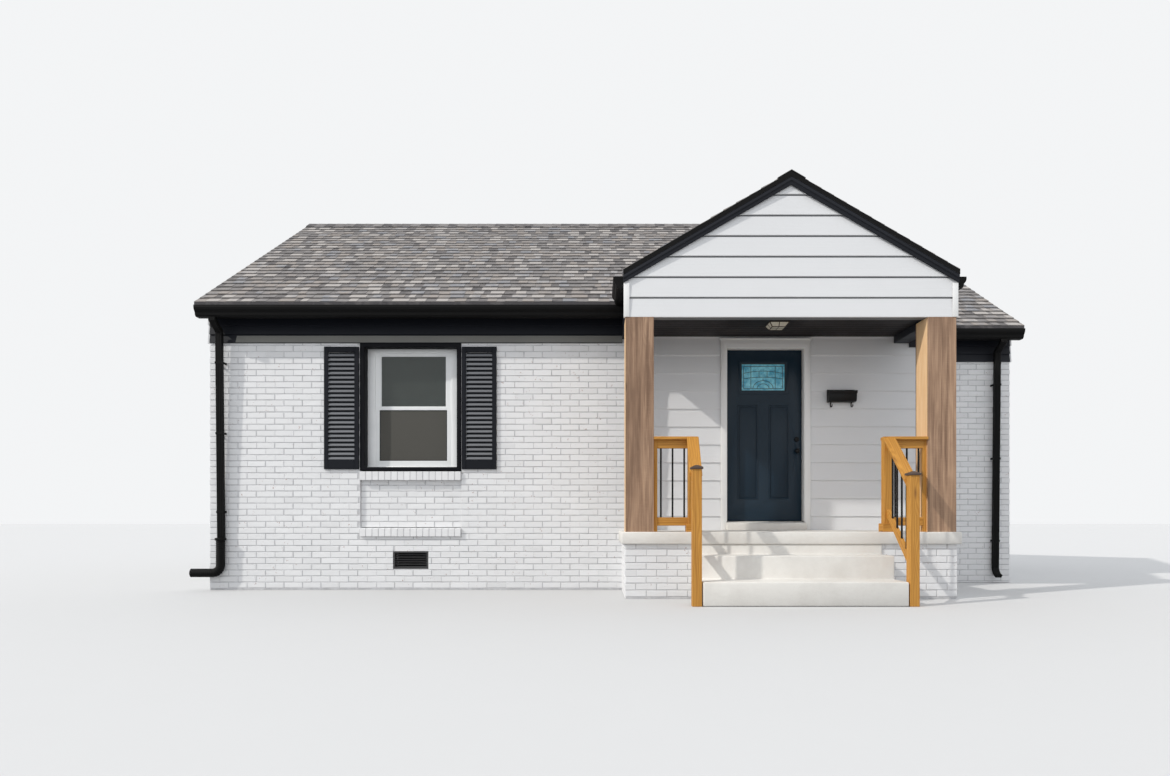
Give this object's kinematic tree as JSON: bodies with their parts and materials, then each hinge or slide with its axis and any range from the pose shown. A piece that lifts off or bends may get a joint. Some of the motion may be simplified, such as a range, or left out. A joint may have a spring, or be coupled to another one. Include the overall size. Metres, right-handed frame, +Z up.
{
  "type": "bungalow",
  "caption": "Single-storey brick bungalow with a side-gabled roof, a set-back side wing and a gabled entry porch; its door, door knob and mailbox lid move.",
  "frame": {"origin": "centre of the bounding box's underside, at the lowest ground that the building meets", "axes": "+X to the right and +Y to the back as seen from the front, +Z up"},
  "size_m": [9.99, 7.9865, 5.4468],
  "materials": {
    "brick": "matt",
    "siding": "satin paint",
    "white_trim": "satin paint",
    "dark_trim": "satin paint",
    "shingle": "granular, matt",
    "gutter_metal": "satin",
    "concrete": "matt",
    "post_timber": "stained",
    "rail_timber": "stained",
    "black_metal": "satin",
    "window_vinyl": "satin",
    "window_glass": "clear",
    "door_paint": "satin paint",
    "door_glass": "frosted",
    "floor_timber": "satin",
    "ceiling_board": "matt",
    "lamp": "satin"
  },
  "bodies": {
    "house": {"house_floor": "floor_timber", "house_ceiling": "ceiling_board", "front_wall": "brick", "left_wall": "brick", "back_wall": "brick", "right_wall": "brick", "wing_front_wall": "brick", "entry_foundation": "brick", "entry_wall_left": "siding", "entry_wall_right": "siding", "entry_wall_head": "siding", "left_gable": "siding", "right_gable": "siding", "main_right_gable": "siding", "roof_front": "shingle", "roof_back": "shingle", "wing_roof": "shingle", "porch_roof": "shingle", "ridge_caps": "shingle", "eave_soffits": "dark_trim", "fascias": "gutter_metal", "rake_boards": "gutter_metal", "frieze_boards": "dark_trim", "eave_gutters": "gutter_metal", "porch_gutters": "gutter_metal", "downspouts": "gutter_metal", "drain_elbow": "gutter_metal", "window_trim": "dark_trim", "window_frames": "window_vinyl", "window_sashes": "window_vinyl", "window_glass": "window_glass", "left_shutter": "dark_trim", "right_shutter": "dark_trim", "brick_sills": "brick", "foundation_vents": "gutter_metal", "porch_base": "brick", "porch_slab": "concrete", "porch_steps": "concrete", "porch_posts": "post_timber", "porch_beams": "dark_trim", "porch_ceiling": "dark_trim", "porch_gable": "siding", "porch_rakes": "gutter_metal", "corner_boards": "white_trim", "porch_light": "lamp", "left_railing": "rail_timber", "right_railing": "rail_timber", "balusters": "black_metal", "newel_caps": "black_metal", "door_frame": "white_trim", "door_sill": "concrete", "door_hinges": "black_metal", "mailbox": "black_metal"},
    "front_door": {"front_door": "door_paint", "door_lite": "door_glass", "deadbolt": "black_metal"},
    "door_knob": {"door_knob": "black_metal"},
    "mailbox_lid": {"mailbox_lid": "black_metal"}
  },
  "joints": [
    {"name": "door_swing", "type": "hinge", "parent": "house", "child": "front_door", "pos_m": [1.1475, -2.05575, 1.706], "axis": [0, 0, 1], "range_deg": [0, 100]},
    {"name": "knob_turn", "type": "hinge", "parent": "front_door", "child": "door_knob", "pos_m": [2.003, -2.08875, 1.622], "axis": [0, 1, 0], "range_deg": [-60, 60], "stiffness_Nm_per_rad": 0.5},
    {"name": "lid_flap", "type": "hinge", "parent": "house", "child": "mailbox_lid", "pos_m": [2.493, -2.21575, 2.328], "axis": [-1, 0, 0], "range_deg": [0, 90]}
  ]
}
